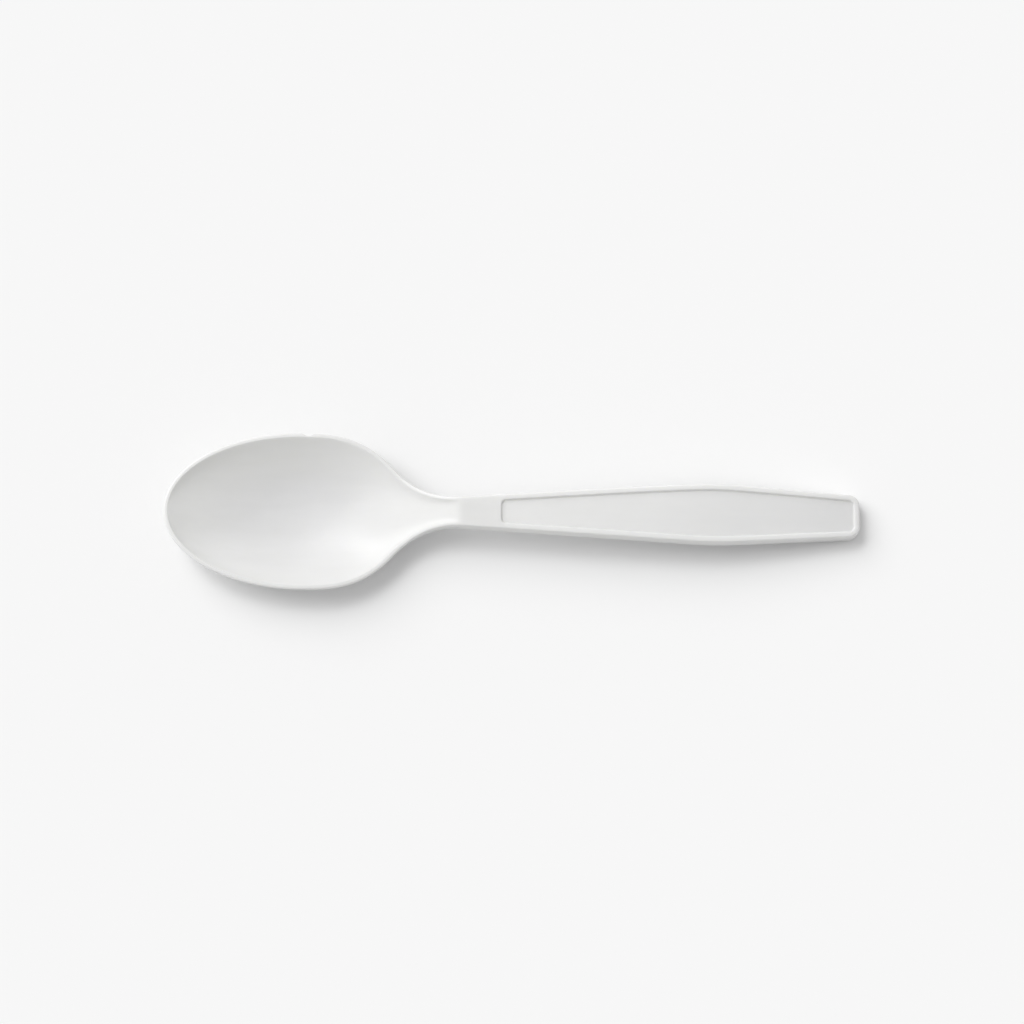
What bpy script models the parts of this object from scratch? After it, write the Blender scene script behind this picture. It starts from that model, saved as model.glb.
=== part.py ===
"""A disposable plastic teaspoon, moulded in one piece, lying on its bowl and its tail.

Metres, +Z up. X runs along the spoon from the bowl's tip to the handle's tail, and the origin is
under the middle of its length, on the surface it lies on. The spoon is one closed loft: half
rings across the spoon, each running over the top, round the rim or skirt and back along the
underside, mirrored to the other side.
"""
import math
from dataclasses import dataclass

import bmesh
import bpy

# Plan: the distances named _AT are measured from the bowl's tip, along the spoon
OVERALL_LENGTH = 0.1500
BOWL_WIDTH = 0.0338
WIDEST_AT = 0.0295
NECK_AT = 0.0645
NECK_WIDTH = 0.0067
BELLY_AT = 0.1180
BELLY_WIDTH = 0.0129
BELLY_ROUNDING = 0.0040
TAIL_WIDTH = 0.0092
TAIL_CORNER_RADIUS = 0.0026

# Heights of the rim and of the handle's top above the surface the spoon lies on
TIP_HEIGHT = 0.0080
RIM_HEIGHT = 0.0070
DIP_AT = 0.0490
DIP_HEIGHT = 0.0054
NECK_HEIGHT = 0.0083
BELLY_HEIGHT = 0.0076
TAIL_HEIGHT = 0.0040
RIM_SLOPE = -0.035
BELLY_SLOPE = -0.090
TAIL_SLOPE = -0.150

# Walls
BOWL_WALL = 0.00095
HANDLE_WALL = 0.00150
REST_FLAT_DEPTH = 0.00005

# Rim of the bowl
RIM_WIDTH = 0.00045
RIM_DROP = 0.00090
RIM_FLARE = 0.00005
RIM_LAND = 0.00030
RIM_ROUNDING = 0.00040

# Skirt that hangs from the sides of the shoulder, the neck and the handle
SKIRT_WIDTH = 0.00125
NECK_DROP = 0.0031
SKIRT_FLARE = 0.00010
NECK_FLARE = 0.00010
SKIRT_LAND = 0.00075
BORDER_ROUNDING = 0.00055

# Sunken panel in the handle's top
PANEL_START = 0.0722
PANEL_DEPTH = 0.00055
PANEL_DRAFT = 0.00030
PANEL_CORNER_RADIUS = 0.0009

# Nick in the rim of the far side
NICK_AT = 0.0308
NICK_LENGTH = 0.0026
NICK_DEPTH = 0.0006

# Shape of the curves, as shares of the spans they lie in
BOWL_ROUNDNESS = 2.4
RAMP_FLATNESS = 2.0
SHOULDER_SHARE = 0.56
SHOULDER_WIDTH_SHARE = 0.46
SHOULDER_STEEPNESS = 2.8
RISE_SHARE = 0.30
RISE_HEIGHT_SHARE = 0.138
RISE_STEEPNESS = 0.95
RAMP_SHARE = 0.614
RAMP_HEIGHT_SHARE = 0.524
RAMP_STEEPNESS = 1.33
CREST_SHARE = 0.95
CREST_HEIGHT_SHARE = 0.969
CREST_STEEPNESS = 1.23
SKIRT_START_SHARE = 0.40
BORDER_START_SHARE = 0.72
EDGE_FULLNESS = 0.30

# Fineness of the mesh
TIP_STEPS = 20
SHOULDER_STEPS = 24
HANDLE_STEPS = 26
CORNER_STEPS = 6
COLUMNS = 9
EDGE_STEPS = 4
NICK_SIDES = 48
SHARP_ANGLE = 35.0

# Small steps, to read a slope, to keep stations apart and to merge vertices
SLOPE_STEP = 0.00001
SEAM_MERGE = 0.00001
SHARE_STEP = 0.02
STATION_GAP = 0.0001
MERGE_DISTANCE = 0.0000001

# Limits: the most that a slope thickens the wall, and the least share of a section that curves
MOST_LEAN = 1.5
LEAST_CURVED = 0.001

COLOUR = (0.75, 0.75, 0.745, 1.0)
ROUGHNESS = 0.38


@dataclass(frozen=True)
class EdgePoint:
    """One point of the spoon's outline, seen from above, with its outward direction."""

    station: float
    half_width: float
    out_x: float
    out_y: float


def smooth(share):
    """Ease from 0 to 1 as share goes from 0 to 1, flat at both ends."""
    share = min(max(share, 0.0), 1.0)
    return share * share * (3.0 - 2.0 * share)


def blend(first, second, start, end, station):
    """Go smoothly from first to second between two stations."""
    return first + (second - first) * smooth((station - start) / (end - start))


def hermite(points, station):
    """Read a curve through (station, value, slope) points at one station."""
    for (x0, y0, m0), (x1, y1, m1) in zip(points, points[1:]):
        if station <= x1 or x1 == points[-1][0]:
            span = x1 - x0
            u = min(max((station - x0) / span, 0.0), 1.0)
            return (
                y0 * (1.0 + 2.0 * u) * (1.0 - u) ** 2
                + m0 * span * u * (1.0 - u) ** 2
                + y1 * u * u * (3.0 - 2.0 * u)
                + m1 * span * u * u * (u - 1.0)
            )


def handle_half_width(station):
    """Two straight tapers that meet in a rounded belly."""
    toward_neck = station < BELLY_AT
    end_at = NECK_AT if toward_neck else OVERALL_LENGTH
    end_width = NECK_WIDTH if toward_neck else TAIL_WIDTH

    def fall(distance):
        return math.hypot(distance, BELLY_ROUNDING) - BELLY_ROUNDING

    share = fall(station - BELLY_AT) / fall(end_at - BELLY_AT)
    return (BELLY_WIDTH + (end_width - BELLY_WIDTH) * share) / 2.0


def slope_of(curve, station):
    """Slope of a curve at a station."""
    return (curve(station + SLOPE_STEP) - curve(station - SLOPE_STEP)) / (2.0 * SLOPE_STEP)


def shoulder_half_width(station):
    """From the bowl's widest section, convex and then concave, into the neck."""
    wide, neck = BOWL_WIDTH / 2.0, NECK_WIDTH / 2.0
    span = NECK_AT - WIDEST_AT
    turn_at = WIDEST_AT + SHOULDER_SHARE * span
    turn_width = neck + SHOULDER_WIDTH_SHARE * (wide - neck)
    turn_slope = -SHOULDER_STEEPNESS * (wide - neck) / span
    neck_slope = slope_of(handle_half_width, NECK_AT + 2.0 * SLOPE_STEP)
    points = [
        (WIDEST_AT, wide, 0.0),
        (turn_at, turn_width, turn_slope),
        (NECK_AT, neck, neck_slope),
    ]
    return hermite(points, station)


def side_point(curve, station):
    """Outline point on one of the half-width curves."""
    slope = slope_of(curve, station)
    length = math.hypot(slope, 1.0)
    return EdgePoint(station, curve(station), -slope / length, 1.0 / length)


def tip_points():
    """Front half of the bowl's outline, a quarter ellipse from the tip to the widest section."""
    length, width = WIDEST_AT - RIM_FLARE, BOWL_WIDTH / 2.0
    points = []
    for step in range(TIP_STEPS + 1):
        angle = math.radians(90.0) * step / TIP_STEPS
        out_x, out_y = -math.cos(angle) / length, math.sin(angle) / width
        size = math.hypot(out_x, out_y)
        along = WIDEST_AT - length * math.cos(angle)
        points.append(EdgePoint(along, width * math.sin(angle), out_x / size, out_y / size))
    return points


def handle_stations(end):
    """Stations along the handle, with the panel's end wall and its corners among them."""
    even = [NECK_AT + (end - NECK_AT) * (step + 1) / HANDLE_STEPS for step in range(HANDLE_STEPS)]
    foot = PANEL_START + PANEL_DRAFT
    corner = [
        foot + PANEL_CORNER_RADIUS * (1.0 - math.cos(math.radians(90.0) * step / CORNER_STEPS))
        for step in range(CORNER_STEPS + 1)
    ]
    close = PANEL_CORNER_RADIUS
    kept = [s for s in even if s < PANEL_START - close or s > foot + PANEL_CORNER_RADIUS + close]
    return sorted(kept + [PANEL_START] + corner)


def tail_points():
    """Round corner of the tail, tangent to the handle's side and to the tail's end."""
    end = OVERALL_LENGTH - SKIRT_FLARE
    centre = end - TAIL_CORNER_RADIUS
    start_angle = math.atan(-slope_of(handle_half_width, centre))
    start = centre + TAIL_CORNER_RADIUS * math.sin(start_angle)
    middle = handle_half_width(start) - TAIL_CORNER_RADIUS * math.cos(start_angle)
    points = []
    for step in range(CORNER_STEPS + 1):
        angle = start_angle + (math.radians(90.0) - start_angle) * step / CORNER_STEPS
        out_x, out_y = math.sin(angle), math.cos(angle)
        along = centre + TAIL_CORNER_RADIUS * out_x
        points.append(EdgePoint(along, middle + TAIL_CORNER_RADIUS * out_y, out_x, out_y))
    return points


def outline():
    """The whole outline of one side, from the tip to the end of the tail's corner."""
    tip, tail = tip_points(), tail_points()
    span = NECK_AT - WIDEST_AT
    shoulder = [
        side_point(shoulder_half_width, WIDEST_AT + span * (step + 1) / SHOULDER_STEPS)
        for step in range(SHOULDER_STEPS)
    ]
    stations = handle_stations(tail[0].station)
    last = tail[0].station - STATION_GAP
    handle = [side_point(handle_half_width, s) for s in stations if s < last]
    return tip + shoulder + handle + tail


def shoulder_station(share):
    """Station at a share of the way from the bowl's widest section to the neck."""
    return WIDEST_AT + share * (NECK_AT - WIDEST_AT)


def rim_height(station):
    """Height of the rim, the neck's crest and the handle's top along the spoon."""
    points = [
        (0.0, TIP_HEIGHT, RIM_SLOPE),
        (WIDEST_AT, RIM_HEIGHT, RIM_SLOPE),
        (DIP_AT, DIP_HEIGHT, 0.0),
        (NECK_AT, NECK_HEIGHT, 0.0),
        (BELLY_AT, BELLY_HEIGHT, BELLY_SLOPE),
        (OVERALL_LENGTH, TAIL_HEIGHT, TAIL_SLOPE),
    ]
    return hermite(points, station)


def floor_height(station):
    """Height of the bowl's floor along its middle, rising to the rim at the tip and the neck."""
    lowest = BOWL_WALL - REST_FLAT_DEPTH
    if station < WIDEST_AT:
        first = RIM_FLARE + RIM_WIDTH + PANEL_DRAFT
        share = (WIDEST_AT - station) / (WIDEST_AT - first)
        return lowest + (rim_height(first) - lowest) * min(share, 1.0) ** BOWL_ROUNDNESS
    if station >= NECK_AT:
        return rim_height(station)
    rise = NECK_HEIGHT - lowest
    steps = [
        (RISE_SHARE, RISE_HEIGHT_SHARE, RISE_STEEPNESS),
        (RAMP_SHARE, RAMP_HEIGHT_SHARE, RAMP_STEEPNESS),
        (CREST_SHARE, CREST_HEIGHT_SHARE, CREST_STEEPNESS),
    ]
    between = [
        (shoulder_station(share), lowest + height * rise, steep * rise / (NECK_AT - WIDEST_AT))
        for share, height, steep in steps
    ]
    points = [(WIDEST_AT, lowest, 0.0), *between, (NECK_AT, NECK_HEIGHT, 0.0)]
    return min(hermite(points, station), rim_height(station))


def top_height(station, share):
    """Height of the top surface at a share of the way from the middle to the rim."""
    floor, rim = floor_height(station), rim_height(station)
    depth, lowest = rim - floor, BOWL_WALL - REST_FLAT_DEPTH
    middle = max(floor - lowest, 0.0) / (rim - lowest)
    middle **= 1.0 / BOWL_ROUNDNESS
    flatness = 1.0 + RAMP_FLATNESS * middle**4
    if 1.0 - middle < LEAST_CURVED:
        return floor + depth * share ** (2.0 * flatness)
    radius = math.sqrt(middle**2 + share**2 * (1.0 - middle**2))
    wall = (radius**BOWL_ROUNDNESS - middle**BOWL_ROUNDNESS) / (1.0 - middle**BOWL_ROUNDNESS)
    return floor + depth * max(wall, 0.0) ** flatness


def under_height(station, share, reach):
    """Height of the underside, one wall below the top surface, square to it."""
    wall = blend(BOWL_WALL, HANDLE_WALL, WIDEST_AT, NECK_AT, station)
    along = slope_of(lambda at: top_height(at, share), station)
    across = 0.0
    if reach > BOWL_WALL:
        inner = max(share - SHARE_STEP, 0.0)
        rise = top_height(station, inner + SHARE_STEP) - top_height(station, inner)
        across = rise / (SHARE_STEP * reach)
    lean = min(math.sqrt(1.0 + along**2 + across**2), MOST_LEAN)
    return max(top_height(station, share) - wall * lean, 0.0)


def panel_recess(station):
    """Depth of the top surface below the handle's border."""
    return PANEL_DEPTH * min(max((station - PANEL_START) / PANEL_DRAFT, 0.0), 1.0)


def corner_inset(station, draft):
    """How far the panel's side steps in, at the round corners where the panel starts.

    The foot of the panel's wall has a draft of nothing, and its top edge lies the draft outside it.
    """
    radius = PANEL_CORNER_RADIUS + draft
    if station < PANEL_START:
        return radius * smooth((station - NECK_AT) / (PANEL_START - NECK_AT))
    centre = PANEL_START + PANEL_DRAFT + PANEL_CORNER_RADIUS
    left = min(max(centre - station, 0.0), radius)
    return radius - math.sqrt(radius**2 - left**2)


def skirt_flare(station):
    """How far the skirt's lower edge lies outside its upper edge."""
    if station < NECK_AT:
        start = shoulder_station(SKIRT_START_SHARE)
        return blend(RIM_FLARE, NECK_FLARE, start, NECK_AT, station)
    return blend(NECK_FLARE, SKIRT_FLARE, NECK_AT, BELLY_AT, station)


def skirt_drop(station):
    """Height of the rim's edge or of the skirt."""
    if station < NECK_AT:
        return blend(RIM_DROP, NECK_DROP, shoulder_station(SKIRT_START_SHARE), NECK_AT, station)
    return blend(NECK_DROP, TAIL_HEIGHT, NECK_AT, BELLY_AT, station)


def outer_curve(rounding, flare, drop):
    """Outer face of the edge, from the flat of its top, over the corner, to its lower edge.

    A cubic curve through (out, below) places: level where it starts and along the skirt below.
    """
    places = [
        (-rounding, 0.0),
        (0.0, 0.0),
        (EDGE_FULLNESS * flare, EDGE_FULLNESS * drop),
        (flare, drop),
    ]
    points = []
    for step in range(EDGE_STEPS + 1):
        u = step / EDGE_STEPS
        weights = ((1.0 - u) ** 3, 3.0 * u * (1.0 - u) ** 2, 3.0 * u * u * (1.0 - u), u**3)
        out = sum(weight * place[0] for weight, place in zip(weights, places))
        below = sum(weight * place[1] for weight, place in zip(weights, places))
        points.append((out, below))
    return points


def edge_section(edge):
    """Section of the border, the rim's edge or skirt, and its inner face, from top to underside.

    The first point is the foot of the panel's wall, the last is where the underside begins.
    """
    at = edge.station
    width = blend(RIM_WIDTH, SKIRT_WIDTH, NECK_AT, PANEL_START, at)
    land = blend(RIM_LAND, SKIRT_LAND, WIDEST_AT, NECK_AT, at)
    foot_width = width + PANEL_DRAFT + corner_inset(at, 0.0)
    top_width = foot_width if at < PANEL_START else width + corner_inset(at, PANEL_DRAFT)
    flare, drop = skirt_flare(at), skirt_drop(at)
    turn = shoulder_station(BORDER_START_SHARE)
    rounding = blend(RIM_ROUNDING, BORDER_ROUNDING, turn, PANEL_START, at)

    def point(out, below):
        along = at + out * edge.out_x
        return (along, edge.half_width + out * edge.out_y, rim_height(along) - below)

    section = [
        point(-foot_width, panel_recess(at)),
        point(-top_width, 0.0),
        *[point(out, below) for out, below in outer_curve(rounding, flare, drop)],
        point(flare - land, drop),
        point(-width - PANEL_DRAFT, 0.0),
    ]
    along, reach, _ = section[-1]
    section[-1] = (along, reach, under_height(along, 1.0, reach))
    return section


def half_ring(edge):
    """Half ring across the spoon: the top from the middle out, the edge, and the underside back."""
    section = edge_section(edge)
    top_at, top_reach, _ = section[0]
    under_at, under_reach, _ = section[-1]
    shares = [column / COLUMNS for column in range(COLUMNS)]
    recess = panel_recess(edge.station)
    top = [(top_at, share * top_reach, top_height(top_at, share) - recess) for share in shares]
    under = [
        (under_at, share * under_reach, under_height(under_at, share, under_reach))
        for share in reversed(shares)
    ]
    return top + section + under


def tail_sections(last):
    """Sections of the tail's end, from its corner to the middle."""
    return [
        edge_section(EdgePoint(last.station, last.half_width * column / COLUMNS, 1.0, 0.0))
        for column in reversed(range(COLUMNS))
    ]


def add_strips(mesh, rows):
    """Join each row of vertices to the next with faces."""
    for first, second in zip(rows, rows[1:]):
        for index in range(len(first) - 1):
            corners = [first[index], first[index + 1], second[index + 1], second[index]]
            mesh.faces.new(corners)


def half_spoon():
    """Mesh of one side of the spoon, open along its middle plane."""
    mesh = bmesh.new()
    edges = outline()

    def vertices(points):
        return [mesh.verts.new((x - OVERALL_LENGTH / 2.0, y, z)) for x, y, z in points]

    rings = [vertices(half_ring(edge)) for edge in edges]
    add_strips(mesh, rings)
    corner = rings[-1][COLUMNS : len(rings[-1]) - COLUMNS]
    add_strips(mesh, [corner] + [vertices(points) for points in tail_sections(edges[-1])])
    bmesh.ops.remove_doubles(mesh, verts=mesh.verts, dist=MERGE_DISTANCE)
    bmesh.ops.recalc_face_normals(mesh, faces=mesh.faces)
    data = bpy.data.meshes.new("spoon")
    mesh.to_mesh(data)
    mesh.free()
    return data


def nick_cutter(collection):
    """Upright cylinder that takes the nick out of the far rim."""
    radius = ((NICK_LENGTH / 2.0) ** 2 + NICK_DEPTH**2) / (2.0 * NICK_DEPTH)
    rim = shoulder_half_width(NICK_AT)
    bpy.ops.mesh.primitive_cylinder_add(
        vertices=NICK_SIDES,
        radius=radius,
        depth=2.0 * RIM_HEIGHT,
        location=(NICK_AT - OVERALL_LENGTH / 2.0, rim + radius - NICK_DEPTH, RIM_HEIGHT),
    )
    cutter = bpy.context.active_object
    cutter.name = "nick_cutter"
    cutter.hide_render = True
    cutter.display_type = "WIRE"
    for owner in list(cutter.users_collection):
        owner.objects.unlink(cutter)
    collection.objects.link(cutter)
    return cutter


def plastic():
    """White moulded plastic."""
    material = bpy.data.materials.new("white_plastic")
    material.use_nodes = True
    shader = material.node_tree.nodes["Principled BSDF"]
    shader.inputs["Base Color"].default_value = COLOUR
    shader.inputs["Roughness"].default_value = ROUGHNESS
    shader.inputs["Metallic"].default_value = 0.0
    return material


def new_collection(name):
    """Collection linked to the scene."""
    collection = bpy.data.collections.new(name)
    bpy.context.scene.collection.children.link(collection)
    return collection


def make_spoon():
    """The spoon: the half loft, its mirror image and the nick."""
    spoon = bpy.data.objects.new("spoon", half_spoon())
    new_collection("plastic_teaspoon").objects.link(spoon)
    mirror = spoon.modifiers.new("other side", "MIRROR")
    mirror.use_axis = (False, True, False)
    mirror.use_mirror_merge = True
    mirror.merge_threshold = SEAM_MERGE
    nick = spoon.modifiers.new("nick", "BOOLEAN")
    nick.operation = "DIFFERENCE"
    nick.solver = "EXACT"
    nick.object = nick_cutter(new_collection("cutters"))
    spoon.data.materials.append(plastic())
    spoon.data.shade_smooth()
    spoon.data.set_sharp_from_angle(angle=math.radians(SHARP_ANGLE))


for old in list(bpy.data.objects):
    bpy.data.objects.remove(old, do_unlink=True)
make_spoon()
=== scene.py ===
"""Dressed model of the disposable plastic teaspoon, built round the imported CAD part.

Metres, +Z up, in the CAD's own frame: X runs along the spoon from the bowl's tip to the handle's
tail, and the origin is under the middle of its length, on the surface it lies on.
"""

import logging
import math
from dataclasses import dataclass, field
from enum import Enum
from typing import Any, Callable, Iterable

import bmesh
import bpy
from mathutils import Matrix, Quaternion, Vector

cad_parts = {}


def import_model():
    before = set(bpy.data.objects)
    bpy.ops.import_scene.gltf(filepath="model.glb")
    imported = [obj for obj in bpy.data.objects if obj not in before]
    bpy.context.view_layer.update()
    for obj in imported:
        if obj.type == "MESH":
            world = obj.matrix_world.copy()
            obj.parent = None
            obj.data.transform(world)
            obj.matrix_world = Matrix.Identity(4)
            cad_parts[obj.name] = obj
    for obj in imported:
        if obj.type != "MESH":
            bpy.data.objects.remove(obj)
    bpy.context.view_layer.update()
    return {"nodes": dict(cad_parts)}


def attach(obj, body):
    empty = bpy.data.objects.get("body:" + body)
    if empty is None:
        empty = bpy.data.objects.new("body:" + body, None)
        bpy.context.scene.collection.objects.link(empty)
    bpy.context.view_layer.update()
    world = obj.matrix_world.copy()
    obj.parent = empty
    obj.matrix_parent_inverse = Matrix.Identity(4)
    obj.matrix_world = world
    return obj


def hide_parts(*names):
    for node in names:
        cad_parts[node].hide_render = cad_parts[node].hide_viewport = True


LOG = logging.getLogger("teaspoon")

Spot = tuple[float, float]
Point = tuple[float, float, float]
Knot = tuple[float, float, float]

# Half of the distance that a slope is read over, and a length that counts as none
SLOPE_STEP = 0.00001
NO_LENGTH = 1e-9


class Side(Enum):
    """The two sides of the spoon, by the sign of Y."""

    NEAR = -1.0
    FAR = 1.0


# Curves that the sections follow


def clamp(value: float, low: float, high: float) -> float:
    """Keep a value between two limits."""
    return min(max(value, low), high)


def smooth(share: float) -> float:
    """Ease from 0 to 1, flat at both ends."""
    share = clamp(share, 0.0, 1.0)
    return share * share * (3.0 - 2.0 * share)


def blend(first: float, second: float, start: float, end: float, station: float) -> float:
    """Go smoothly from one value to another between two stations.

    Args:
        first: Value up to the start.
        second: Value from the end on.
        start: Station where the change starts.
        end: Station where the change ends.
        station: Station to read.

    Returns:
        The value at the station.
    """
    return first + (second - first) * smooth((station - start) / (end - start))


def hermite(knots: list[Knot], station: float) -> float:
    """Read a smooth curve at a station.

    Args:
        knots: The curve's stations, each with its value and slope.
        station: Station to read.

    Returns:
        The value at the station, or at the curve's nearer end.
    """
    pairs = list(zip(knots, knots[1:]))
    for (x0, y0, m0), (x1, y1, m1) in pairs:
        if station <= x1:
            break
    span = x1 - x0
    u = clamp((station - x0) / span, 0.0, 1.0)
    start = y0 * (1.0 + 2.0 * u) + m0 * span * u
    end = y1 * (3.0 - 2.0 * u) + m1 * span * (u - 1.0)
    return start * (1.0 - u) ** 2 + end * u * u


def slope_of(curve: Callable[[float], float], station: float) -> float:
    """Read the slope of a curve.

    Args:
        curve: The curve, as a function of the station.
        station: Station to read.

    Returns:
        The slope at the station.
    """
    rise = curve(station + SLOPE_STEP) - curve(station - SLOPE_STEP)
    return rise / (2.0 * SLOPE_STEP)


def fillet(before: Spot, corner: Spot, after: Spot, radius: float, steps: int) -> list[Spot]:
    """Round a corner of a section with a quadratic curve.

    Args:
        before: The section's point ahead of the corner, as (out, below).
        corner: The corner itself.
        after: The section's point behind the corner.
        radius: How far from the corner the rounding starts and ends.
        steps: How many pieces the rounding has.

    Returns:
        The points of the rounding, in the section's order.
    """

    def toward(end: Spot) -> Spot:
        """Find where the rounding meets one side of the corner, at most halfway along it.

        Args:
            end: The far end of that side.

        Returns:
            The place, as (out, below).
        """
        length = math.hypot(end[0] - corner[0], end[1] - corner[1])
        share = min(radius, 0.5 * length) / max(length, NO_LENGTH)
        return tuple(c + share * (e - c) for c, e in zip(corner, end))

    first, last = toward(before), toward(after)
    points = []
    for step in range(steps + 1):
        u = step / steps
        weights = ((1.0 - u) ** 2, 2.0 * u * (1.0 - u), u * u)
        points.append(tuple(
            weights[0] * a + weights[1] * b + weights[2] * c
            for a, b, c in zip(first, corner, last)
        ))
    return points


# Sizes and sections of the spoon


@dataclass(frozen=True)
class EdgePoint:
    """One point of the spoon's outline, seen from above, with its outward direction."""

    station: float
    half_width: float
    out_x: float
    out_y: float


@dataclass(frozen=True)
class Plan:
    """Outline of the spoon, seen from above. Stations are measured from the bowl's tip."""

    length: float = 0.1500
    bowl_width: float = 0.0338
    widest_at: float = 0.0295
    neck_at: float = 0.0645
    neck_width: float = 0.0067
    belly_at: float = 0.1180
    belly_width: float = 0.0129
    belly_rounding: float = 0.0040
    tail_width: float = 0.0092
    tail_corner: float = 0.0026
    rim_flare: float = 0.00005
    skirt_flare: float = 0.00010
    turn_share: float = 0.56
    turn_width_share: float = 0.46
    turn_steepness: float = 2.8

    @property
    def span(self) -> float:
        """Length of the shoulder, from the widest section to the neck."""
        return self.neck_at - self.widest_at

    def shoulder_station(self, share: float) -> float:
        """Station at a share of the way along the shoulder."""
        return self.widest_at + share * self.span

    def handle_half_width(self, station: float) -> float:
        """Two straight tapers that meet in a rounded belly.

        Args:
            station: Station on the handle.

        Returns:
            Half of the handle's width there.
        """
        toward_neck = station < self.belly_at
        end_at = self.neck_at if toward_neck else self.length
        end_width = self.neck_width if toward_neck else self.tail_width

        def fall(distance: float) -> float:
            """Distance with its start rounded off."""
            return math.hypot(distance, self.belly_rounding) - self.belly_rounding

        share = fall(station - self.belly_at) / fall(end_at - self.belly_at)
        return (self.belly_width + (end_width - self.belly_width) * share) / 2.0

    def shoulder_half_width(self, station: float) -> float:
        """Half width from the bowl's widest section, convex and then concave, into the neck.

        Args:
            station: Station on the shoulder.

        Returns:
            Half of the spoon's width there.
        """
        wide, neck = self.bowl_width / 2.0, self.neck_width / 2.0
        turn_width = neck + self.turn_width_share * (wide - neck)
        turn_slope = -self.turn_steepness * (wide - neck) / self.span
        neck_slope = slope_of(self.handle_half_width, self.neck_at + 2.0 * SLOPE_STEP)
        knots = [
            (self.widest_at, wide, 0.0),
            (self.shoulder_station(self.turn_share), turn_width, turn_slope),
            (self.neck_at, neck, neck_slope),
        ]
        return hermite(knots, station)

    def side_point(self, curve: Callable[[float], float], station: float) -> EdgePoint:
        """Outline point on a half-width curve.

        Args:
            curve: Half width as a function of the station.
            station: Station of the point.

        Returns:
            The point, with its direction square to the curve.
        """
        slope = slope_of(curve, station)
        size = math.hypot(slope, 1.0)
        return EdgePoint(station, curve(station), -slope / size, 1.0 / size)

    def tip_points(self, steps: int) -> list[EdgePoint]:
        """Quarter ellipse round the front of the bowl.

        Args:
            steps: How many pieces the curve has.

        Returns:
            Points from the tip to the widest section.
        """
        length, width = self.widest_at - self.rim_flare, self.bowl_width / 2.0
        points = []
        for step in range(steps + 1):
            angle = math.radians(90.0) * step / steps
            out_x, out_y = -math.cos(angle) / length, math.sin(angle) / width
            size = math.hypot(out_x, out_y)
            station = self.widest_at - length * math.cos(angle)
            points.append(EdgePoint(station, width * math.sin(angle), out_x / size, out_y / size))
        return points

    def tail_points(self, steps: int) -> list[EdgePoint]:
        """Round corner of the tail, tangent to the handle's side and to the tail's end.

        Args:
            steps: How many pieces the corner has.

        Returns:
            Points from the handle's side to the end.
        """
        radius = self.tail_corner
        centre = self.length - self.skirt_flare - radius
        start_angle = math.atan(-slope_of(self.handle_half_width, centre))
        start = centre + radius * math.sin(start_angle)
        middle = self.handle_half_width(start) - radius * math.cos(start_angle)
        points = []
        for step in range(steps + 1):
            angle = start_angle + (math.radians(90.0) - start_angle) * step / steps
            out_x, out_y = math.sin(angle), math.cos(angle)
            points.append(EdgePoint(centre + radius * out_x, middle + radius * out_y, out_x, out_y))
        return points


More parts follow.
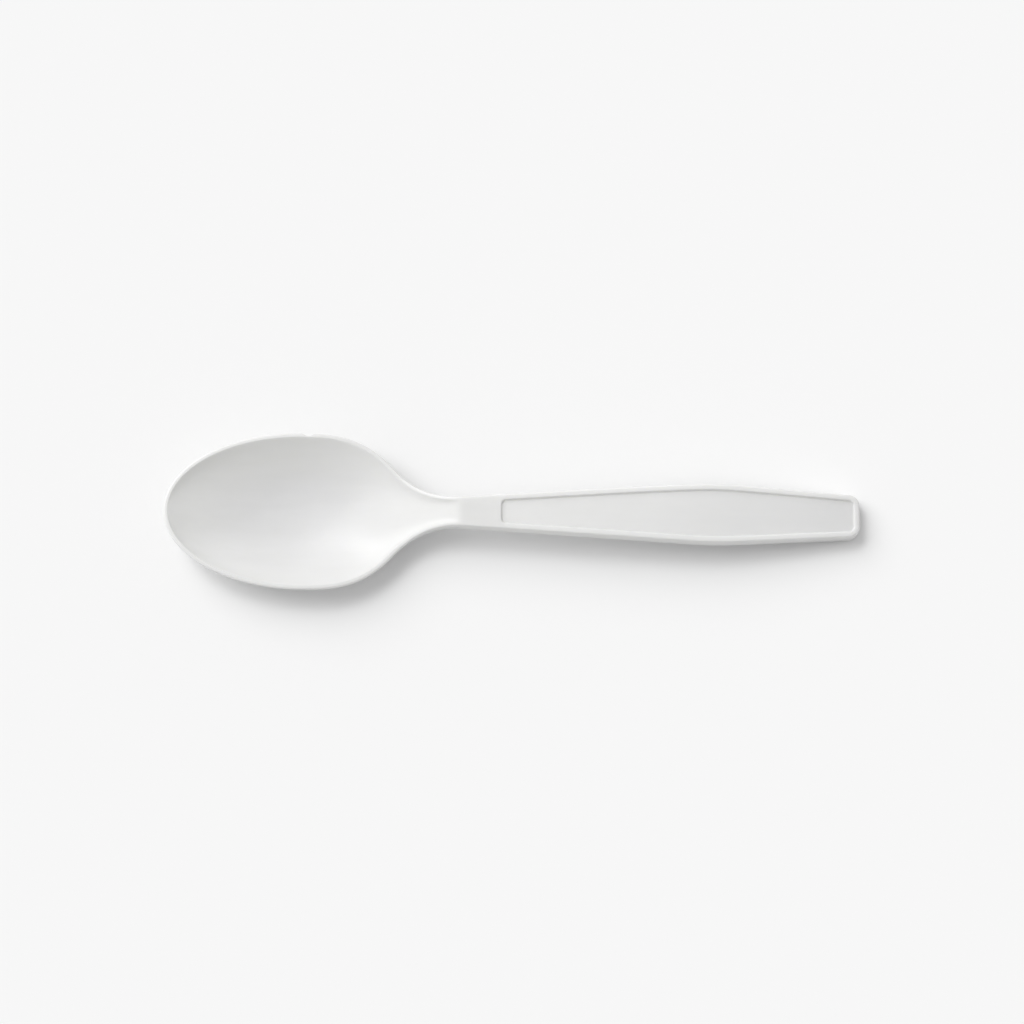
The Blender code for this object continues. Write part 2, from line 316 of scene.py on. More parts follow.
@dataclass(frozen=True)
class Heights:
    """Heights of the spoon's surfaces above the surface that it lies on."""

    plan: Plan = field(default_factory=Plan)
    tip: float = 0.0080
    rim: float = 0.0070
    dip_at: float = 0.0490
    dip: float = 0.0054
    neck: float = 0.0083
    belly: float = 0.0076
    tail: float = 0.0040
    rim_slope: float = -0.035
    belly_slope: float = -0.090
    tail_slope: float = -0.150
    bowl_wall: float = 0.00095
    handle_wall: float = 0.00150
    rest_flat_depth: float = 0.00005
    floor_starts: float = 0.00080
    roundness: float = 2.4
    rise: Knot = (0.30, 0.138, 0.95)
    ramp: Knot = (0.614, 0.524, 1.33)
    crest: Knot = (0.95, 0.969, 1.23)
    flatness: float = 2.0
    flatness_power: int = 4
    least_curved: float = 0.001
    share_step: float = 0.02
    most_lean: float = 1.5

    @property
    def lowest(self) -> float:
        """Height of the bowl's floor at its deepest."""
        return self.bowl_wall - self.rest_flat_depth

    def rim_height(self, station: float) -> float:
        """Height of the rim, the neck's crest and the handle's top.

        Args:
            station: Station along the spoon.

        Returns:
            The height there.
        """
        plan = self.plan
        knots = [
            (0.0, self.tip, self.rim_slope),
            (plan.widest_at, self.rim, self.rim_slope),
            (self.dip_at, self.dip, 0.0),
            (plan.neck_at, self.neck, 0.0),
            (plan.belly_at, self.belly, self.belly_slope),
            (plan.length, self.tail, self.tail_slope),
        ]
        return hermite(knots, station)

    def floor_height(self, station: float) -> float:
        """Height of the bowl's floor along its middle, rising to the tip and the neck.

        Args:
            station: Station along the spoon.

        Returns:
            The height there, or that of the handle's top.
        """
        plan = self.plan
        if station < plan.widest_at:
            first = self.floor_starts
            share = min((plan.widest_at - station) / (plan.widest_at - first), 1.0)
            return self.lowest + (self.rim_height(first) - self.lowest) * share**self.roundness
        if station >= plan.neck_at:
            return self.rim_height(station)
        climb = self.neck - self.lowest
        between = [
            (plan.shoulder_station(share), self.lowest + height * climb, steep * climb / plan.span)
            for share, height, steep in (self.rise, self.ramp, self.crest)
        ]
        knots = [(plan.widest_at, self.lowest, 0.0), *between, (plan.neck_at, self.neck, 0.0)]
        return min(hermite(knots, station), self.rim_height(station))

    def top_height(self, station: float, share: float) -> float:
        """Height of the top surface.

        Args:
            station: Station along the spoon.
            share: Share of the way from the middle to the rim.

        Returns:
            The height there.
        """
        floor, rim = self.floor_height(station), self.rim_height(station)
        depth = rim - floor
        middle = max(floor - self.lowest, 0.0) / (rim - self.lowest)
        middle **= 1.0 / self.roundness
        flatness = 1.0 + self.flatness * middle**self.flatness_power
        if 1.0 - middle < self.least_curved:
            return floor + depth * share ** (2.0 * flatness)
        radius = math.sqrt(middle**2 + share**2 * (1.0 - middle**2))
        start = middle**self.roundness
        wall = max(radius**self.roundness - start, 0.0) / (1.0 - start)
        return floor + depth * wall**flatness

    def under_height(self, station: float, share: float, reach: float) -> float:
        """Height of the underside, one wall below the top surface and square to it.

        Args:
            station: Station along the spoon.
            share: Share of the way from the middle to the rim.
            reach: Half width of the underside there.

        Returns:
            The height there.
        """
        plan = self.plan
        wall = blend(self.bowl_wall, self.handle_wall, plan.widest_at, plan.neck_at, station)
        along = slope_of(lambda at: self.top_height(at, share), station)
        across, step = 0.0, self.share_step
        if reach > self.bowl_wall:
            inner = max(share - step, 0.0)
            rise = self.top_height(station, inner + step) - self.top_height(station, inner)
            across = rise / (step * reach)
        lean = min(math.sqrt(1.0 + along**2 + across**2), self.most_lean)
        return max(self.top_height(station, share) - wall * lean, 0.0)


@dataclass(frozen=True)
class Panel:
    """Sunken panel in the handle's top, inside a raised border."""

    plan: Plan = field(default_factory=Plan)
    start: float = 0.0722
    depth: float = 0.00055
    draft: float = 0.00030
    corner: float = 0.0009
    support_shares: tuple = (1.0, 0.3)

    @property
    def foot(self) -> float:
        """Station of the foot of the panel's end wall."""
        return self.start + self.draft

    def recess(self, station: float) -> float:
        """Depth of the panel's floor below the border."""
        return self.depth * clamp((station - self.start) / self.draft, 0.0, 1.0)

    def wall_stations(self) -> set[float]:
        """Stations just ahead of the panel's end wall, at its top and halfway down.

        Returns:
            The stations.
        """
        ahead = {self.start - share * self.draft for share in self.support_shares}
        return ahead | {self.start, self.start + 0.5 * self.draft}

    def inset(self, station: float, draft: float) -> float:
        """How far the panel's side steps in, at the round corners where it starts.

        Args:
            station: Station along the spoon.
            draft: Nothing for the foot of the wall, and the wall's draft for its top edge.

        Returns:
            The distance inwards.
        """
        radius = self.corner + draft
        if station < self.start:
            return radius * smooth((station - self.plan.neck_at) / (self.start - self.plan.neck_at))
        left = clamp(self.foot + self.corner - station, 0.0, radius)
        return radius - math.sqrt(radius**2 - left**2)


@dataclass(frozen=True)
class Edge:
    """Section of the border, with the rim's edge or the skirt that hangs from it."""

    plan: Plan = field(default_factory=Plan)
    heights: Heights = field(default_factory=Heights)
    panel: Panel = field(default_factory=Panel)
    rim_width: float = 0.00045
    rim_drop: float = 0.00090
    rim_land: float = 0.00030
    rim_rounding: float = 0.00040
    skirt_width: float = 0.00125
    neck_drop: float = 0.0031
    neck_flare: float = 0.00010
    skirt_land: float = 0.00075
    border_rounding: float = 0.00055
    start_share: float = 0.40
    border_share: float = 0.72
    fullness: float = 0.30
    curve_steps: int = 10
    small_radius: float = 0.00009
    lower_radius: float = 0.000135
    corner_steps: int = 3

    def flare(self, station: float) -> float:
        """How far the skirt's lower edge lies outside its upper edge.

        Args:
            station: Station along the spoon.

        Returns:
            The distance outwards.
        """
        plan = self.plan
        if station < plan.neck_at:
            start = plan.shoulder_station(self.start_share)
            return blend(plan.rim_flare, self.neck_flare, start, plan.neck_at, station)
        return blend(self.neck_flare, plan.skirt_flare, plan.neck_at, plan.belly_at, station)

    def drop(self, station: float) -> float:
        """Height of the rim's edge or of the skirt.

        Args:
            station: Station along the spoon.

        Returns:
            The height.
        """
        plan = self.plan
        if station < plan.neck_at:
            start = plan.shoulder_station(self.start_share)
            return blend(self.rim_drop, self.neck_drop, start, plan.neck_at, station)
        return blend(self.neck_drop, self.heights.tail, plan.neck_at, plan.belly_at, station)

    def outer_curve(self, rounding: float, flare: float, drop: float) -> list[Spot]:
        """Outer face of the edge, from the flat of its top to its lower edge.

        Args:
            rounding: Where on the flat the curve starts, inside the outline.
            flare: How far outside the outline the lower edge lies.
            drop: How far below the top the lower edge lies.

        Returns:
            Points as (out, below), the first on the flat.
        """
        full = self.fullness
        places = [(-rounding, 0.0), (0.0, 0.0), (full * flare, full * drop), (flare, drop)]
        points = []
        for step in range(self.curve_steps + 1):
            u = step / self.curve_steps
            v = 1.0 - u
            weights = (v**3, 3.0 * u * v * v, 3.0 * u * u * v, u**3)
            points.append(tuple(
                sum(weight * place[axis] for weight, place in zip(weights, places))
                for axis in (0, 1)
            ))
        return points

    def section(self, edge: EdgePoint) -> list[Point]:
        """Section at one point of the outline, from the panel's floor to the underside.

        Args:
            edge: The outline point.

        Returns:
            Points as (station, half width, height).
        """
        at, panel, plan, heights = edge.station, self.panel, self.plan, self.heights
        width = blend(self.rim_width, self.skirt_width, plan.neck_at, panel.start, at)
        land = blend(self.rim_land, self.skirt_land, plan.widest_at, plan.neck_at, at)
        foot_width = width + panel.draft + panel.inset(at, 0.0)
        top_width = foot_width if at < panel.start else width + panel.inset(at, panel.draft)
        flare, drop = self.flare(at), self.drop(at)
        turn = plan.shoulder_station(self.border_share)
        rounding = blend(self.rim_rounding, self.border_rounding, turn, panel.start, at)
        outer = self.outer_curve(rounding, flare, drop)
        inner = (-width - panel.draft, 0.0)
        under_at = at + inner[0] * edge.out_x
        under_reach = edge.half_width + inner[0] * edge.out_y
        under = heights.under_height(under_at, 1.0, under_reach)
        inner = (inner[0], heights.rim_height(under_at) - under)
        land_end = (flare - land, drop)
        recess = panel.recess(at)
        foot, brow = (-foot_width, recess), (-top_width, 0.0)
        inside = (-foot_width - 2.0 * self.small_radius, recess)
        small, steps = self.small_radius, self.corner_steps
        profile = [
            *fillet(inside, foot, brow, small, steps),
            *fillet(foot, brow, outer[0], small, steps),
            *outer[:-1],
            *fillet(outer[-2], outer[-1], land_end, self.lower_radius, steps),
            *fillet(outer[-1], land_end, inner, small, steps),
            inner,
        ]
        points = []
        for out, below in profile:
            along = at + out * edge.out_x
            points.append((along, edge.half_width + out * edge.out_y, heights.rim_height(along) - below))
        return points


@dataclass(frozen=True)
class Nick:
    """Small round nick in the rim of one side, with a thinned stretch toward the handle."""

    side: Side = Side.FAR
    at: float = 0.0308
    length: float = 0.0026
    depth: float = 0.0006
    thinned_length: float = 0.0043
    thinned_depth: float = 0.00018
    lengths_after: float = 2.0

    @property
    def close_stretch(self) -> Spot:
        """Stations that the mesh is finer between."""
        return self.at - self.length, self.at + self.lengths_after * self.length


@dataclass(frozen=True)
class Fineness:
    """How many pieces the curves of the mesh have."""

    tip: int = 90
    shoulder: int = 90
    handle: int = 90
    corner: int = 16
    columns: int = 26
    nick: int = 40


# Small builders for node trees, and the spoon's mesh


def add_node(tree: bpy.types.NodeTree, kind: str, **settings: Any) -> bpy.types.Node:
    """Add a node to a tree and set its properties and inputs.

    Args:
        tree: Tree that gets the node.
        kind: The node's type.
        **settings: Properties by name. "inputs" maps socket names or numbers to a value or a
            socket to link from.

    Returns:
        The new node.
    """
    node = tree.nodes.new(kind)
    inputs = settings.pop("inputs", {})
    for name, value in settings.items():
        setattr(node, name, value)
    for key, value in inputs.items():
        if isinstance(value, bpy.types.NodeSocket):
            tree.links.new(value, node.inputs[key])
        else:
            node.inputs[key].default_value = value
    return node


def calculate(tree: bpy.types.NodeTree, operation: str, *values: Any) -> bpy.types.NodeSocket:
    """Add a Math node.

    Args:
        tree: Tree that gets the node.
        operation: The node's operation.
        *values: Numbers or sockets for its inputs, in order.

    Returns:
        The node's result.
    """
    return add_node(
        tree, "ShaderNodeMath", operation=operation, inputs=dict(enumerate(values))
    ).outputs[0]


@dataclass
class SpoonShell:
    """The spoon: a closed loft of half rings, mirrored and nicked by a Geometry Nodes tree."""

    name: str = "spoon_shell"
    plan: Plan = field(default_factory=Plan)
    heights: Heights = field(default_factory=Heights)
    panel: Panel = field(default_factory=Panel)
    edge: Edge = field(default_factory=Edge)
    nick: Nick = field(default_factory=Nick)
    fineness: Fineness = field(default_factory=Fineness)
    merge_distance: float = 1e-6
    station_gap: float = 0.0001
    waviness: float = 0.00002
    wave_scale: float = 80.0
    wave_detail: float = 1.0
    seed: float = 7.0
    corner_angle: float = math.radians(38.0)

    def stations(self) -> list[EdgePoint]:
        """Outline points of one side, from the tip to the end of the tail's corner.

        Returns:
            The points, closer together round the nick and the panel's start.
        """
        plan, panel, fine = self.plan, self.panel, self.fineness
        tail = plan.tail_points(fine.corner)
        step = plan.span / fine.shoulder
        shoulder = {plan.widest_at + step * (index + 1) for index in range(fine.shoulder)}
        nick_start, nick_end = self.nick.close_stretch
        close = (nick_end - nick_start) / fine.nick
        shoulder = {s for s in shoulder if not nick_start < s < nick_end}
        shoulder |= {
            nick_start + close * index
            for index in range(fine.nick + 1)
            if nick_start + close * index > plan.widest_at + 0.5 * close
        }
        last = tail[0].station
        handle = {
            plan.neck_at + (last - plan.neck_at) * (index + 1) / fine.handle
            for index in range(fine.handle)
        }
        round_end = panel.foot + panel.corner
        handle = {s for s in handle if not panel.start - step < s < round_end + step}
        quarter = math.radians(90.0) / fine.corner
        handle |= {
            panel.foot + panel.corner * (1.0 - math.cos(quarter * index))
            for index in range(fine.corner + 1)
        }
        handle |= panel.wall_stations()
        sides = [plan.side_point(plan.shoulder_half_width, s) for s in sorted(shoulder)]
        sides += [
            plan.side_point(plan.handle_half_width, s)
            for s in sorted(handle)
            if s < last - self.station_gap
        ]
        return plan.tip_points(fine.tip) + sides + tail

    def shares(self) -> list[float]:
        """Places across the half ring, as shares of its width, closer together near the rim.

        Returns:
            The shares, from the middle out, without the rim's own.
        """
        columns = self.fineness.columns
        quarter = math.radians(90.0)
        return [
            0.5 * (column / columns + math.sin(quarter * column / columns))
            for column in range(columns)
        ]

    def half_ring(self, edge: EdgePoint) -> list[Point]:
        """Half ring across the spoon.

        Args:
            edge: Outline point that the ring reaches.

        Returns:
            Points over the top from the middle out, round the edge, and back along the underside.
        """
        section, shares = self.edge.section(edge), self.shares()
        top_at, top_reach, _ = section[0]
        under_at, under_reach, _ = section[-1]
        recess = self.panel.recess(edge.station)
        heights = self.heights
        top = [
            (top_at, share * top_reach, heights.top_height(top_at, share) - recess)
            for share in shares
        ]
        under = [
            (under_at, share * under_reach, heights.under_height(under_at, share, under_reach))
            for share in reversed(shares)
        ]
        return top + section + under

    def half_mesh(self) -> bpy.types.Mesh:
        """Mesh of one side of the spoon, open along its middle plane.

        Returns:
            The mesh, at its place in the row frame.
        """
        mesh, edges = bmesh.new(), self.stations()
        columns = self.fineness.columns

        def add_row(points: Iterable[Point]) -> list[bmesh.types.BMVert]:
            """Add a row of vertices, placed from the middle of the spoon's length."""
            middle = self.plan.length / 2.0
            return [mesh.verts.new((x - middle, max(y, 0.0), z)) for x, y, z in points]

        def join(rows: list[list[bmesh.types.BMVert]]) -> None:
            """Join each row to the next with faces.

            Args:
                rows: Rows that all have as many vertices.
            """
            for first, second in zip(rows, rows[1:]):
                for a, b, c, d in zip(first, first[1:], second[1:], second):
                    mesh.faces.new((a, b, c, d))

        rim_edge = mesh.verts.layers.float.new("rim_edge")
        rings = [add_row(self.half_ring(edge)) for edge in edges]
        for ring, edge in zip(rings, edges):
            for vertex in ring[columns : len(ring) - columns]:
                vertex[rim_edge] = edge.half_width
        join(rings)
        last = edges[-1]
        corner = rings[-1][columns : len(rings[-1]) - columns]
        end_rows = [
            add_row(self.edge.section(EdgePoint(last.station, last.half_width * share, 1.0, 0.0)))
            for share in reversed(self.shares())
        ]
        join([corner, *end_rows])
        bmesh.ops.remove_doubles(mesh, verts=mesh.verts, dist=self.merge_distance)
        bmesh.ops.recalc_face_normals(mesh, faces=mesh.faces)
        data = bpy.data.meshes.new(self.name)
        mesh.to_mesh(data)
        mesh.free()
        return data

    def finishing_tree(self) -> bpy.types.NodeTree:
        """Geometry Nodes tree that mirrors the half shell, nicks one rim and sets the finish.

        Returns:
            The tree, with named inputs for its sizes.
        """
        tree = bpy.data.node_groups.new("spoon_finishing", "GeometryNodeTree")
        face = tree.interface
        face.new_socket("Geometry", in_out="INPUT", socket_type="NodeSocketGeometry")
        numbers = (
            "Nick Side", "Nick Place", "Nick Edge", "Nick Length", "Nick Depth",
            "Thinned Length", "Thinned Depth", "Waviness", "Wave Scale", "Seed", "Corner Angle",
        )
        for name in numbers:
            face.new_socket(name, in_out="INPUT", socket_type="NodeSocketFloat")
        face.new_socket("Material", in_out="INPUT", socket_type="NodeSocketMaterial")
        face.new_socket("Geometry", in_out="OUTPUT", socket_type="NodeSocketGeometry")
        sizes = tree.nodes.new("NodeGroupInput").outputs
        half = sizes["Geometry"]
        other = add_node(
            tree, "GeometryNodeTransform", inputs={"Geometry": half, "Scale": (1.0, -1.0, 1.0)}
        )
        other = add_node(tree, "GeometryNodeFlipFaces", inputs={"Mesh": other.outputs[0]})
        both = tree.nodes.new("GeometryNodeJoinGeometry")
        tree.links.new(other.outputs[0], both.inputs[0])
        tree.links.new(half, both.inputs[0])
        whole = add_node(
            tree, "GeometryNodeMergeByDistance",
            inputs={"Geometry": both.outputs[0], "Distance": self.merge_distance},
        )
        nicked = self.nick_nodes(tree, whole.outputs[0], sizes)
        waved = self.wave_nodes(tree, nicked, sizes)
        smooth_faces = add_node(
            tree, "GeometryNodeSetShadeSmooth", inputs={"Geometry": waved, "Shade Smooth": True}
        )
        bend = add_node(tree, "GeometryNodeInputMeshEdgeAngle").outputs["Unsigned Angle"]
        corners = calculate(tree, "GREATER_THAN", bend, sizes["Corner Angle"])
        sharp = add_node(
            tree, "GeometryNodeSetShadeSmooth", domain="EDGE",
            inputs={
                "Geometry": smooth_faces.outputs[0], "Selection": corners, "Shade Smooth": False,
            },
        )
        real = add_node(
            tree, "GeometryNodeRealizeInstances", inputs={"Geometry": sharp.outputs[0]}
        )
        dressed = add_node(
            tree, "GeometryNodeSetMaterial",
            inputs={"Geometry": real.outputs[0], "Material": sizes["Material"]},
        )
        add_node(tree, "NodeGroupOutput", inputs={"Geometry": dressed.outputs[0]})
        return tree

    def nick_nodes(
        self, tree: bpy.types.NodeTree, shell: bpy.types.NodeSocket, sizes: Any
    ) -> bpy.types.NodeSocket:
        """Press the rim's edge in to a round cut, with a thinned stretch beside it.

        Args:
            tree: Tree that gets the nodes.
            shell: The whole shell.
            sizes: The tree's named inputs.

        Returns:
            The nicked shell.
        """
        place = add_node(tree, "GeometryNodeInputPosition")
        parts = add_node(tree, "ShaderNodeSeparateXYZ", inputs={0: place.outputs[0]}).outputs
        out = calculate(tree, "MULTIPLY", parts["Y"], sizes["Nick Side"])
        along = calculate(tree, "SUBTRACT", parts["X"], sizes["Nick Place"])
        half_length = calculate(tree, "MULTIPLY", sizes["Nick Length"], 0.5)
        depth_squared = calculate(tree, "POWER", sizes["Nick Depth"], 2.0)
        chord = calculate(tree, "ADD", calculate(tree, "POWER", half_length, 2.0), depth_squared)
        radius = calculate(
            tree, "DIVIDE", chord, calculate(tree, "MULTIPLY", sizes["Nick Depth"], 2.0)
        )
        centre = calculate(
            tree, "SUBTRACT", calculate(tree, "ADD", sizes["Nick Edge"], radius), sizes["Nick Depth"]
        )
        left = calculate(
            tree, "SUBTRACT", calculate(tree, "POWER", radius, 2.0),
            calculate(tree, "POWER", along, 2.0),
        )
        reach = calculate(tree, "SQRT", calculate(tree, "MAXIMUM", left, 0.0))
        round_cut = calculate(tree, "SUBTRACT", centre, reach)
        share = calculate(tree, "DIVIDE", along, sizes["Thinned Length"])
        fade = add_node(
            tree, "ShaderNodeMapRange", interpolation_type="SMOOTHSTEP",
            inputs={"Value": share, "From Min": 0.0, "From Max": 1.0, "To Min": 1.0, "To Max": 0.0},
        ).outputs[0]
        begun = calculate(tree, "GREATER_THAN", along, 0.0)
        thinned = calculate(
            tree, "MULTIPLY", calculate(tree, "MULTIPLY", fade, begun), sizes["Thinned Depth"]
        )
        edge = add_node(
            tree, "GeometryNodeInputNamedAttribute", data_type="FLOAT", inputs={"Name": "rim_edge"}
        ).outputs[0]
        thin_cut = calculate(tree, "SUBTRACT", edge, thinned)
        limit = calculate(tree, "MINIMUM", round_cut, thin_cut)
        excess = calculate(tree, "MAXIMUM", calculate(tree, "SUBTRACT", out, limit), 0.0)
        on_rim = calculate(tree, "GREATER_THAN", edge, 0.0)
        shift = calculate(
            tree, "MULTIPLY", calculate(tree, "MULTIPLY", excess, on_rim),
            calculate(tree, "MULTIPLY", sizes["Nick Side"], -1.0),
        )
        offset = add_node(tree, "ShaderNodeCombineXYZ", inputs={"Y": shift})
        moved = add_node(
            tree, "GeometryNodeSetPosition", inputs={"Geometry": shell, "Offset": offset.outputs[0]}
        )
        return moved.outputs[0]

    def wave_nodes(
        self, tree: bpy.types.NodeTree, shell: bpy.types.NodeSocket, sizes: Any
    ) -> bpy.types.NodeSocket:
        """Sink the faces by a hair, unevenly, as moulded plastic does while it cools.

        Args:
            tree: Tree that gets the nodes.
            shell: The nicked shell.
            sizes: The tree's named inputs.

        Returns:
            The shell with its waviness.
        """
        noise = add_node(
            tree, "ShaderNodeTexNoise", noise_dimensions="4D",
            inputs={
                "W": sizes["Seed"], "Scale": sizes["Wave Scale"], "Detail": self.wave_detail,
            },
        )
        sink = calculate(
            tree, "MULTIPLY", noise.outputs[0], calculate(tree, "MULTIPLY", sizes["Waviness"], -1.0)
        )
        normal = add_node(tree, "GeometryNodeInputNormal")
        offset = add_node(
            tree, "ShaderNodeVectorMath", operation="SCALE",
            inputs={0: normal.outputs[0], "Scale": sink},
        )
        moved = add_node(
            tree, "GeometryNodeSetPosition", inputs={"Geometry": shell, "Offset": offset.outputs[0]}
        )
        return moved.outputs[0]

    def build(self, material: bpy.types.Material) -> bpy.types.Object:
        """Build the spoon as one plain mesh.

        Args:
            material: The spoon's finish.

        Returns:
            The finished object, linked to the scene.
        """
        nick, plan = self.nick, self.plan
        source = bpy.data.objects.new(self.name + "_half", self.half_mesh())
        bpy.context.scene.collection.objects.link(source)
        modifier = source.modifiers.new("finishing", "NODES")
        modifier.node_group = self.finishing_tree()
        values = {
            "Nick Side": nick.side.value,
            "Nick Place": nick.at - plan.length / 2.0,
            "Nick Edge": plan.shoulder_half_width(nick.at),
            "Nick Length": nick.length,
            "Nick Depth": nick.depth,
            "Thinned Length": nick.thinned_length,
            "Thinned Depth": nick.thinned_depth,
            "Waviness": self.waviness,
            "Wave Scale": self.wave_scale,
            "Seed": self.seed,
            "Corner Angle": self.corner_angle,
            "Material": material,
        }
        for item in modifier.node_group.interface.items_tree:
            if item.in_out == "INPUT" and item.name in values:
                modifier[item.identifier] = values[item.name]
        weighted = source.modifiers.new("weighted normals", "WEIGHTED_NORMAL")
        weighted.mode = "FACE_AREA"
        weighted.keep_sharp = True
        evaluated = source.evaluated_get(bpy.context.evaluated_depsgraph_get())
        data = bpy.data.meshes.new_from_object(evaluated)
        data.name = self.name
        if "rim_edge" in data.attributes:
            data.attributes.remove(data.attributes["rim_edge"])
        bpy.data.objects.remove(source, do_unlink=True)
        spoon = bpy.data.objects.new(self.name, data)
        bpy.context.scene.collection.objects.link(spoon)
        return spoon


# Finish, floor, light and camera


@dataclass(frozen=True)
class WhitePlastic:
    """White moulded plastic with a soft sheen, faint flow streaks and a very fine skin."""

    slot: str = "white_plastic"
    light_tint: tuple = (0.745, 0.745, 0.740, 1.0)
    dark_tint: tuple = (0.720, 0.720, 0.714, 1.0)
    cloud_scale: float = 55.0
    cloud_detail: float = 3.0
    cloud_roughness: float = 0.55
    cloud_share: float = 0.6
    streak_scale: float = 450.0
    streak_stretch: tuple = (0.12, 1.0, 1.0)
    streak_detail: float = 2.0
    streak_roughness: float = 0.5
    streak_distortion: float = 0.4
    streak_share: float = 0.4
    pattern_low: float = 0.35
    palest_at: float = 0.62
    roughest_at: float = 0.65
    skin_scale: float = 1400.0
    skin_detail: float = 2.0
    skin_strength: float = 0.05
    skin_distance: float = 0.00003
    peel_scale: float = 260.0
    peel_detail: float = 1.0
    peel_distance: float = 0.00009
    roughness_low: float = 0.30
    roughness_high: float = 0.40
    ior: float = 1.50
    scatter_weight: float = 0.55
    scatter_radius: tuple = (0.0024, 0.0024, 0.0022)
    scatter_scale: float = 1.0

    def build(self) -> bpy.types.Material:
        """Make the material.

        Returns:
            The material, with its pattern in the object's own coordinates.
        """
        material = bpy.data.materials.new(self.slot)
        material.use_nodes = True
        tree = material.node_tree
        shader = tree.nodes["Principled BSDF"]
        place = add_node(tree, "ShaderNodeTexCoord").outputs["Object"]
        mixed = self.pattern(tree, place)
        ramp = add_node(tree, "ShaderNodeValToRGB", inputs={"Fac": mixed})
        stops = ((self.pattern_low, self.dark_tint), (self.palest_at, self.light_tint))
        for element, (position, tint) in zip(ramp.color_ramp.elements, stops):
            element.position = position
            element.color = tint
        tree.links.new(ramp.outputs[0], shader.inputs["Base Color"])
        rough = add_node(
            tree, "ShaderNodeMapRange",
            inputs={
                "Value": mixed, "From Min": self.pattern_low, "From Max": self.roughest_at,
                "To Min": self.roughness_low, "To Max": self.roughness_high,
            },
        )
        tree.links.new(rough.outputs[0], shader.inputs["Roughness"])
        self.skin(tree, place, shader)
        shader.inputs["IOR"].default_value = self.ior
        shader.inputs["Subsurface Weight"].default_value = self.scatter_weight
        shader.inputs["Subsurface Radius"].default_value = self.scatter_radius
        shader.inputs["Subsurface Scale"].default_value = self.scatter_scale
        return material

    def pattern(
        self, tree: bpy.types.NodeTree, place: bpy.types.NodeSocket
    ) -> bpy.types.NodeSocket:
        """Mix soft clouds with streaks drawn out along the spoon.

        Args:
            tree: The material's tree.
            place: The object's own coordinates.

        Returns:
            The mixed pattern.
        """
        clouds = add_node(
            tree, "ShaderNodeTexNoise",
            inputs={
                "Vector": place, "Scale": self.cloud_scale,
                "Detail": self.cloud_detail, "Roughness": self.cloud_roughness,
            },
        )
        stretched = add_node(
            tree, "ShaderNodeMapping", inputs={"Vector": place, "Scale": self.streak_stretch}
        )
        streaks = add_node(
            tree, "ShaderNodeTexNoise",
            inputs={
                "Vector": stretched.outputs[0], "Scale": self.streak_scale,
                "Detail": self.streak_detail, "Roughness": self.streak_roughness,
                "Distortion": self.streak_distortion,
            },
        )
        return calculate(
            tree, "ADD", calculate(tree, "MULTIPLY", clouds.outputs[0], self.cloud_share),
            calculate(tree, "MULTIPLY", streaks.outputs[0], self.streak_share),
        )

    def skin(
        self, tree: bpy.types.NodeTree, place: bpy.types.NodeSocket, shader: bpy.types.Node
    ) -> None:
        """Add the mould's fine texture, as two bumps, one over the other.

        Args:
            tree: The material's tree.
            place: The object's own coordinates.
            shader: The shader that gets the normal.
        """
        peel = add_node(
            tree, "ShaderNodeTexNoise",
            inputs={"Vector": place, "Scale": self.peel_scale, "Detail": self.peel_detail},
        )
        fine = add_node(
            tree, "ShaderNodeTexNoise",
            inputs={"Vector": place, "Scale": self.skin_scale, "Detail": self.skin_detail},
        )
        low = add_node(
            tree, "ShaderNodeBump",
            inputs={
                "Height": peel.outputs[0], "Strength": self.skin_strength,
                "Distance": self.peel_distance,
            },
        )
        high = add_node(
            tree, "ShaderNodeBump",
            inputs={
                "Height": fine.outputs[0], "Strength": self.skin_strength,
                "Distance": self.skin_distance, "Normal": low.outputs[0],
            },
        )
        tree.links.new(high.outputs[0], shader.inputs["Normal"])


@dataclass(frozen=True)
class Backdrop:
    """Plain pale floor that the spoon lies on."""

    size: float = 6.0
    colour: tuple = (0.915, 0.915, 0.915, 1.0)
    roughness: float = 0.9

    def build(self) -> bpy.types.Object:
        """Build the floor.

        Returns:
            The floor, with its material.
        """
        half = self.size / 2.0
        data = bpy.data.meshes.new("floor")
        corners = [(-half, -half, 0.0), (half, -half, 0.0), (half, half, 0.0), (-half, half, 0.0)]
        data.from_pydata(corners, [], [(0, 1, 2, 3)])
        material = bpy.data.materials.new("floor_paper")
        material.use_nodes = True
        shader = material.node_tree.nodes["Principled BSDF"]
        shader.inputs["Base Color"].default_value = self.colour
        shader.inputs["Roughness"].default_value = self.roughness
        shader.inputs["Specular IOR Level"].default_value = 0.0
        data.materials.append(material)
        floor = bpy.data.objects.new("floor", data)
        bpy.context.scene.collection.objects.link(floor)
        return floor


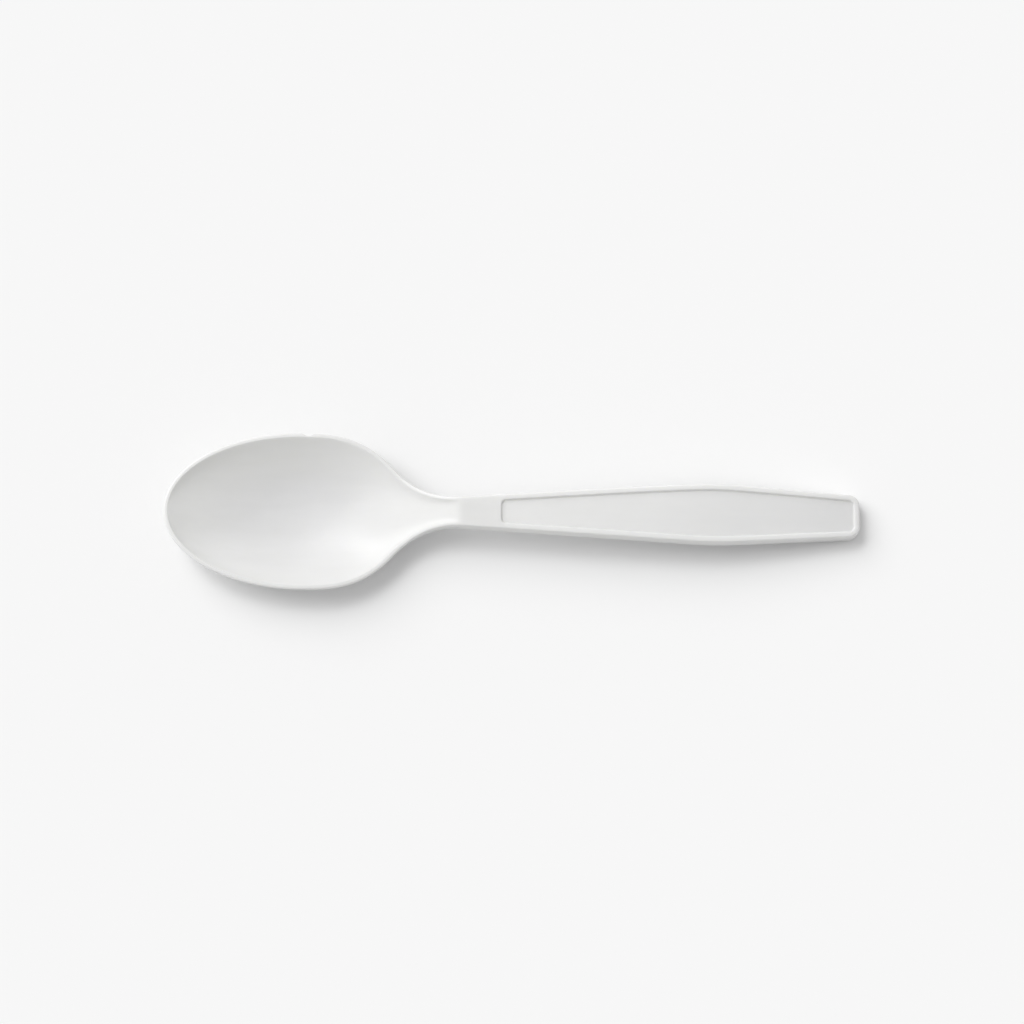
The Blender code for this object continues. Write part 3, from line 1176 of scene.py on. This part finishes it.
@dataclass(frozen=True)
class Studio:
    """Large soft key light with a brighter core, from the far side, and even light all round."""

    key_elevation: float = 41.0
    key_azimuth: float = 50.0
    key_spread: float = 52.0
    key_strength: float = 1.88
    core_elevation: float = 52.0
    core_azimuth: float = 42.0
    core_spread: float = 16.0
    core_strength: float = 0.38
    fill: float = 0.53
    backdrop: float = 0.915

    def build(self) -> None:
        """Make the lamps and the world."""
        self.add_lamp(
            "key", self.key_elevation, self.key_azimuth, self.key_spread, self.key_strength
        )
        self.add_lamp(
            "key_core", self.core_elevation, self.core_azimuth, self.core_spread,
            self.core_strength,
        )
        self.build_world()

    @staticmethod
    def add_lamp(
        name: str, elevation: float, azimuth: float, spread: float, strength: float
    ) -> None:
        """Make a distant lamp on the far side, to the left.

        Args:
            name: Name of the lamp.
            elevation: Its height above the horizon, in degrees.
            azimuth: How far it stands to the left of straight behind the spoon, in degrees.
            spread: How wide it looks from the spoon, in degrees.
            strength: Light on a surface that faces it.
        """
        lamp = bpy.data.lights.new(name, "SUN")
        lamp.energy = strength
        lamp.angle = math.radians(spread)
        lean, turn = math.radians(elevation), math.radians(azimuth)
        toward = Vector((
            -math.sin(turn) * math.cos(lean), math.cos(turn) * math.cos(lean), math.sin(lean)
        ))
        light = bpy.data.objects.new(name, lamp)
        light.rotation_euler = toward.to_track_quat("Z", "Y").to_euler()
        light.location = toward
        bpy.context.scene.collection.objects.link(light)

    def build_world(self) -> None:
        """Make the even light, with a paler backdrop where the camera sees it."""
        world = bpy.data.worlds.new("studio")
        world.use_nodes = True
        tree = world.node_tree
        tree.nodes.clear()
        path = add_node(tree, "ShaderNodeLightPath").outputs
        seen = calculate(
            tree, "MAXIMUM", path["Is Camera Ray"],
            calculate(tree, "MAXIMUM", path["Is Glossy Ray"], path["Is Transmission Ray"]),
        )
        light = add_node(tree, "ShaderNodeBackground", inputs={"Strength": self.fill})
        pale = add_node(tree, "ShaderNodeBackground", inputs={"Strength": self.backdrop})
        for shade in (light, pale):
            shade.inputs["Color"].default_value = (1.0, 1.0, 1.0, 1.0)
        mixed = add_node(
            tree, "ShaderNodeMixShader",
            inputs={0: seen, 1: light.outputs[0], 2: pale.outputs[0]},
        )
        add_node(tree, "ShaderNodeOutputWorld", inputs={"Surface": mixed.outputs[0]})
        bpy.context.scene.world = world


@dataclass(frozen=True)
class PhotoCamera:
    """Camera almost straight above the spoon, leaning back toward the near side."""

    elevation: float = 82.0
    distance: float = 0.60
    lens: float = 98.0
    roll: float = 0.37
    target: Point = (-0.00025, 0.0003, 0.0050)
    sensor: float = 36.0
    nearest: float = 0.01
    farthest: float = 20.0

    def build(self) -> None:
        """Make the camera and set it as the scene's."""
        data = bpy.data.cameras.new("camera")
        data.lens = self.lens
        data.sensor_width = self.sensor
        camera = bpy.data.objects.new("camera", data)
        lean = math.radians(self.elevation)
        back = Vector((0.0, -math.cos(lean), math.sin(lean)))
        camera.location = Vector(self.target) + self.distance * back
        roll = Quaternion((0.0, 0.0, 1.0), math.radians(self.roll))
        camera.rotation_euler = (back.to_track_quat("Z", "Y") @ roll).to_euler()
        data.clip_start, data.clip_end = self.nearest, self.farthest
        bpy.context.scene.collection.objects.link(camera)
        bpy.context.scene.camera = camera


# The whole scene


def main() -> None:
    """Build the spoon round the frame, then the floor, the lights and the camera."""
    logging.basicConfig(level=logging.INFO, format="%(name)s: %(message)s")
    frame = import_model()
    LOG.info("frame with nodes %s", ", ".join(sorted(frame["nodes"])))
    finish = WhitePlastic()
    spoon = SpoonShell().build(finish.build())
    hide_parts("spoon")
    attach(spoon, "root")
    LOG.info("%s: %d faces", spoon.name, len(spoon.data.polygons))
    backdrop = Backdrop()
    floor = backdrop.build()
    LOG.info("floor, %.0f m across", backdrop.size)
    Studio().build()
    PhotoCamera().build()
    bpy.context.scene.view_settings.view_transform = "Standard"


if __name__ == "__main__":
    main()
